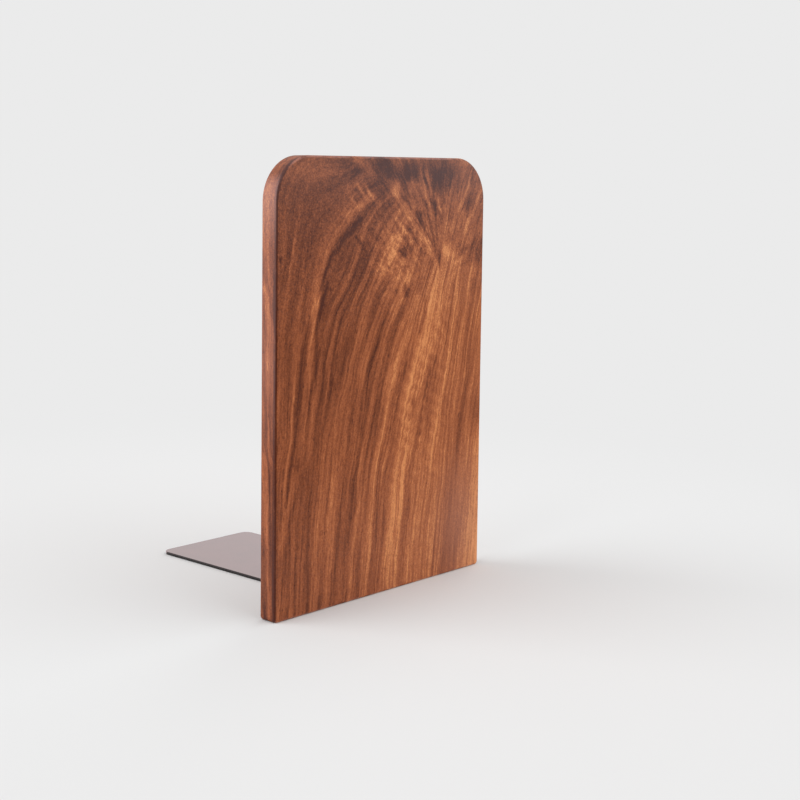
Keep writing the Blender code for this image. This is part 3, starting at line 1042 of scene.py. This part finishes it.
def rippled_grain(g, place, board, x, z, depth, along):
    """The place across the leaning grain with its sway and its cross ripples, and the ripples themselves."""
    straight = g.add(leaning_grain(g, x, z), g.mul(depth, GRAIN_DIVE))
    sway_place = g.vector(g.mul(straight, 0.10), g.mul(depth, 0.05), g.mul(along, 0.05))
    sway = g.noise(sway_place, detail=3.0, roughness=0.55)
    swayed = g.weigh((sway, SWAY), (straight, 1.0), (1.0, -SWAY / 2))
    where = g.spots(board, CURL_SPOTS)
    jitter = g.mul(g.noise(place, scale=0.07, detail=1.0), CURL_JITTER)
    phase = g.add(g.mul(along, CURL_WAVES[0]), g.mul(swayed, CURL_WAVES[1]), jitter)
    curl = g.mul(g.math("SINE", phase), where)
    return g.add(swayed, g.mul(curl, CURL_DEPTH)), curl


def fan_grain(g, x, z):
    """The place across the grain above the crotch: a fan on its left, parallel lines on its right."""
    dx, dz = g.sub(x, CROTCH[0] - FAN_SHIFT), g.sub(z, CROTCH[1])
    angle = g.math("ARCTAN2", dz, dx)
    fan = g.math("MINIMUM", g.weigh((angle, -FAN_WIDTH), (1.0, FAN_WIDTH * FAN_ANGLE)), 0.0)
    right = g.weigh((dx, math.sin(FAN_ANGLE)), (dz, -math.cos(FAN_ANGLE)))
    return g.add(fan, g.math("MAXIMUM", right, 0.0))


def lower_tone(g, board, heart, across, along, depth):
    """The tone of the leaning grain: bands and streaks, which are calmer in the quiet spots."""
    quiet = heart
    for oval in QUIET_SPOTS:
        quiet = g.math("MAXIMUM", quiet, g.spot(board, *oval))
    calm = g.span(quiet, 0, 1, 1.0, 0.35, kind="LINEAR")
    lines = g.weigh(
        (streak(g, across, along, depth, 0.11, 0.015, 3.0), 0.3),
        (streak(g, across, along, depth, 0.22, 0.015, 5.0), 0.45),
        (streak(g, across, along, depth, 0.42, 0.022, 11.0), 1.0),
        (streak(g, across, along, depth, 0.80, 0.03, 13.0), 0.9),
        (streak(g, across, along, depth, 1.0, 0.30, 17.0), 0.35),
    )
    return g.add(graph_line(g, across, BANDS), g.mul(lines, calm))


def upper_tone(g, plane, fan, along, depth):
    """The tone of the fan above the crotch: streaks, of which the fine ones die out at its foot."""
    apex = g.span(g.spot(plane, *APEX_SPOT), 0, 1, 1.0, 0.3, kind="LINEAR")
    return g.weigh(
        (1.0, UPPER_TONE),
        (streak(g, fan, along, depth, 0.14, 0.05, 61.0), 0.8),
        (g.mul(streak(g, fan, along, depth, 0.3, 0.05, 67.0, 3.0, 0.6), apex), 1.4),
        (g.mul(streak(g, fan, along, depth, 0.9, 0.08, 71.0, 3.0, 0.6), apex), 1.2),
    )


def rays(g, board, x, z):
    """Rays that cross the arch, about 0."""
    across = g.weigh((x, RAY_ACROSS[0]), (z, RAY_ACROSS[1]))
    along = g.weigh((x, RAY_ACROSS[1]), (z, -RAY_ACROSS[0]))
    drawn = g.vector(g.mul(across, 0.42), RAY_SEED, g.mul(along, 0.11))
    ray = g.noise(drawn, detail=2.0, roughness=0.6)
    return g.mul(g.sub(ray, 0.5), g.spots(board, RAY_SPOTS))


def edge_shares(g, place, depth, z):
    """How much a place lies on a long side, on its part with painted light, on the painted highlight of a
    rounded edge, and on the painted shade at its front.
    """
    nx, ny, nz = (g.math("ABSOLUTE", part) for part in g.split(g.normal()))
    side = g.span(nx, 0.75, 0.97)
    # painted light: the long sides paler towards the top, as the key lamp would light them
    pale = g.mul(side, g.ramp(g.share(z, 0, BOARD_TOP), SIDE_LIGHT_SHARES))
    # a painted highlight, in patches, along the rounded edges of the top and foot, and of the sides behind the
    # front
    behind = g.mul(nx, g.span(depth, *BACK_HIGHLIGHT_FADE))
    rounded = g.mul(ny, g.math("MAXIMUM", nz, behind))
    highlight_patches = g.noise(place, scale=0.12, detail=3.0, roughness=0.6)
    paler_edge = g.mul(g.span(rounded, 0.15, 0.45), g.span(highlight_patches, 0.38, 0.6))
    # painted shade on the sides' front part and on the front's rounded side edges
    front = g.weigh(
        (g.span(depth, *WIDE_SHADE_FADE, 1.0, 0.0), 0.16),
        (g.span(depth, *NARROW_SHADE_FADE, 1.0, 0.0), 0.40),
    )
    return side, pale, paler_edge, g.mul(g.span(nx, 0.25, 0.6), front)


def walnut():
    """Oiled crotch walnut: leaning grain below the crotch, a fan above it, and rays, patches and veins."""
    veins = [vein_group(*values) for values in VEINS]
    g = Surface("walnut")
    place = g.place()
    x0, y, z0 = g.split(place)
    depth = g.sub(y, panel_low.y / MM)
    x, z = wander(g, g.noise(place, scale=0.035, detail=1.5, output="Color"), x0, z0, *SLOW_WANDER)
    fine_x, fine_z = wander(g, g.noise(place, scale=0.16, output="Color"), x0, z0, *FINE_WANDER)
    along = g.weigh((z, 0.9), (x, 0.25))
    board = g.vector(x, z, 0.0)
    across, curl = rippled_grain(g, place, board, x, z, depth, along)
    heart = g.spot(board, *HEART_SPOT)
    lower = lower_tone(g, board, heart, across, along, depth)
    fan = g.add(fan_grain(g, fine_x, fine_z), g.mul(depth, GRAIN_DIVE))
    upper = upper_tone(g, g.vector(fine_x, fine_z, 0.0), fan, along, depth)
    above = g.span(g.sub(fine_z, graph_line(g, fine_x, SEAM)), -SEAM_BLEND, SEAM_BLEND)
    below = g.sub(1.0, above)
    grain = g.add(g.mul(lower, below), g.mul(upper, above))

    # what is fine all over: fibres, pores and specks, and the mottle of the heart and the top
    fibre = streak(g, across, along, depth, 2.6, 0.5, 37.0, 2.0, 0.7)
    pore = g.span(streak(g, across, along, depth, 1.7, 0.42, 51.0), 0.12, 0.22)
    speck = g.mul(
        g.sub(g.noise(place, scale=1.5, detail=3.0, roughness=0.7), 0.5),
        g.span(z, *SPECK_HEIGHTS, 1.0, 1.7),
    )
    mottle = g.mul(
        g.sub(g.noise(place, scale=0.55, detail=4.0, roughness=0.68), 0.5),
        g.add(heart, g.span(z, *MOTTLE_HEIGHTS, 0.15, 0.6)),
    )

    # patches and veins, with the patches' outlines frayed along the grain
    cross = g.add(g.mul(across, below), g.mul(fan, above))
    drawn = g.vector(g.mul(cross, 0.7), FRAY_SEED, g.mul(along, 0.05))
    fray = g.noise(drawn, detail=3.0, roughness=0.7)
    frayed = g.vector(fine_x, g.weigh((fray, FRAY), (fine_z, 1.0), (1.0, -FRAY / 2)), 0.0)
    patches = g.spots(frayed, PATCHES)
    groups = (g.node("ShaderNodeGroup", node_tree=vein) for vein in veins)
    lines = g.chain("ADD", (g.fill(group, x=fine_x, z=fine_z) for group in groups))

    side, pale, paler_edge, front_shade = edge_shares(g, place, depth, z0)
    crossing = rays(g, board, x, z)
    figure = g.weigh(
        (grain, 1.0),
        (fibre, 0.42),
        (pore, -0.36),
        (speck, 0.72),
        (curl, 0.05),
        (crossing, 1.0),
        (mottle, 1.1),
    )
    # the tone gets the sides' painted light, the painted shade at their front, and the painted highlight of
    # the rounded edges
    tone = g.weigh((g.add(figure, patches, lines), 1.0), (pale, 0.6), (front_shade, -1.0), (paler_edge, 0.22))
    # painted sheen that greys the board: stronger towards the top and the right, in patches, on the sides'
    # painted light, and in one spot
    blotches = g.sub(g.noise(place, scale=1.3, detail=3.0, roughness=0.6), 0.5)
    height_sheen = g.mul(graph_line(g, z0, SHEEN_BY_HEIGHT), g.span(x0, -BOARD_SIDE, BOARD_SIDE, 0.7, 1.4, kind="LINEAR"))
    painted_sheen = g.add(height_sheen, g.mul(blotches, 0.10), g.mul(pale, 0.10), g.spot(board, *SHEEN_SPOT))
    sheened_wood = g.mix(painted_sheen, colour_line(g, tone, WALNUT_TONES), SHEEN_COLOUR)
    # a painted pink sheen on the sides, and on the painted highlight of the rounded edges
    g.surface(
        Base_Color=g.mix(g.weigh((pale, 0.18), (side, 0.02), (paler_edge, 0.14)), sheened_wood, SIDE_SHEEN),
        Roughness=g.weigh((fibre, -0.2), (1.0, 0.5)),
        Specular_IOR_Level=0.12,
    )
    g.bump(g.weigh((fibre, 1.0), (pore, -0.5)), WALNUT_RELIEF)
    return g.material


def camera():
    """The camera at the photograph's viewing angle."""
    right = Vector((math.cos(CAMERA_YAW), math.sin(CAMERA_YAW), 0))
    forward = Vector(
        (
            -math.sin(CAMERA_YAW) * math.cos(CAMERA_PITCH),
            math.cos(CAMERA_YAW) * math.cos(CAMERA_PITCH),
            -math.sin(CAMERA_PITCH),
        )
    )
    up = right.cross(forward)
    turned = Matrix.Rotation(CAMERA_ROLL, 3, "Z")
    axes = Matrix((right, up, -forward)).transposed() @ turned
    data = bpy.data.cameras.new("camera")
    data.lens = CAMERA_LENS
    data.shift_x = CAMERA_SHIFT_X
    data.shift_y = CAMERA_SHIFT_Y
    made = bpy.data.objects.new("camera", data)
    foot = Vector(((panel_low.x + panel_high.x) / 2, panel_low.y, panel_low.z))
    made.matrix_world = Matrix.Translation(foot + CAMERA_FROM_FOOT) @ axes.to_4x4()
    bpy.context.scene.collection.objects.link(made)
    bpy.context.scene.camera = made


def lamp(name, come_from, strength, angle):
    """A distant soft lamp that shines from a direction. Gloss shows the backdrop alone, without the lamp."""
    data = bpy.data.lights.new(name, "SUN")
    data.energy = strength
    data.angle = math.radians(angle)
    made = bpy.data.objects.new(name, data)
    made.rotation_euler = Vector(come_from).to_track_quat("Z", "Y").to_euler()
    made.visible_glossy = False
    bpy.context.scene.collection.objects.link(made)


def backdrop_rays(g):
    """1 for the rays that see the backdrop itself: camera, glossy and transmission rays."""
    path = g.node("ShaderNodeLightPath").outputs
    names = ("Is Camera Ray", "Is Glossy Ray", "Is Transmission Ray")
    return g.chain("MAXIMUM", (path[name] for name in names))


def grey(value):
    """A neutral colour."""
    return (value, value, value, 1)


def world():
    """Even ambient light, with the pale backdrop for the rays that see it."""
    made = bpy.data.worlds.new("world")
    made.use_nodes = True
    g = Graph(made.node_tree)
    g.tree.nodes.clear()
    ambient = g.fill(g.node("ShaderNodeBackground"), Color=grey(1), Strength=AMBIENT)
    pale = g.fill(g.node("ShaderNodeBackground"), Color=grey(BACKDROP))
    g.feed(g.node("ShaderNodeOutputWorld").inputs["Surface"], g.mix_shaders(backdrop_rays(g), ambient, pale))
    bpy.context.scene.world = made


def floor():
    """A wide pale floor. It keeps the object's soft shadow, and far off it has the backdrop's own tone."""
    mesh = bmesh.new()
    bmesh.ops.create_circle(mesh, cap_ends=True, segments=FLOOR_STEPS, radius=FLOOR_RADIUS)
    made = finished_object("floor", mesh)
    material = bpy.data.materials.new("floor_paper")
    material.use_nodes = True
    g = Graph(material.node_tree)
    g.tree.nodes.clear()
    paper = g.fill(g.node("ShaderNodeBsdfDiffuse"), Color=grey(FLOOR_PAPER))
    tone = g.fill(g.node("ShaderNodeEmission"), Color=grey(BACKDROP))
    reach = g.node("ShaderNodeVectorMath", operation="LENGTH")
    g.fill(reach, Vector=g.node("ShaderNodeTexCoord").outputs["Object"])
    far = g.mul(g.span(reach.outputs["Value"], *FLOOR_FADE), backdrop_rays(g))
    g.feed(g.node("ShaderNodeOutputMaterial").inputs["Surface"], g.mix_shaders(far, paper, tone))
    made.data.materials.append(material)


camera()
world()
floor()
for name, come_from, strength, angle in LAMPS:
    lamp(name, come_from, strength, angle)

wood_board().data.materials.append(walnut())
bracket().data.materials.append(coated_steel())
foam_pad().data.materials.append(black_foam())
plating = dark_zinc()
for name, turn in zip(screw_names, SCREW_TURNS):
    wood_screw(name, turn).data.materials.append(plating)

bpy.context.scene.view_settings.view_transform = "Standard"
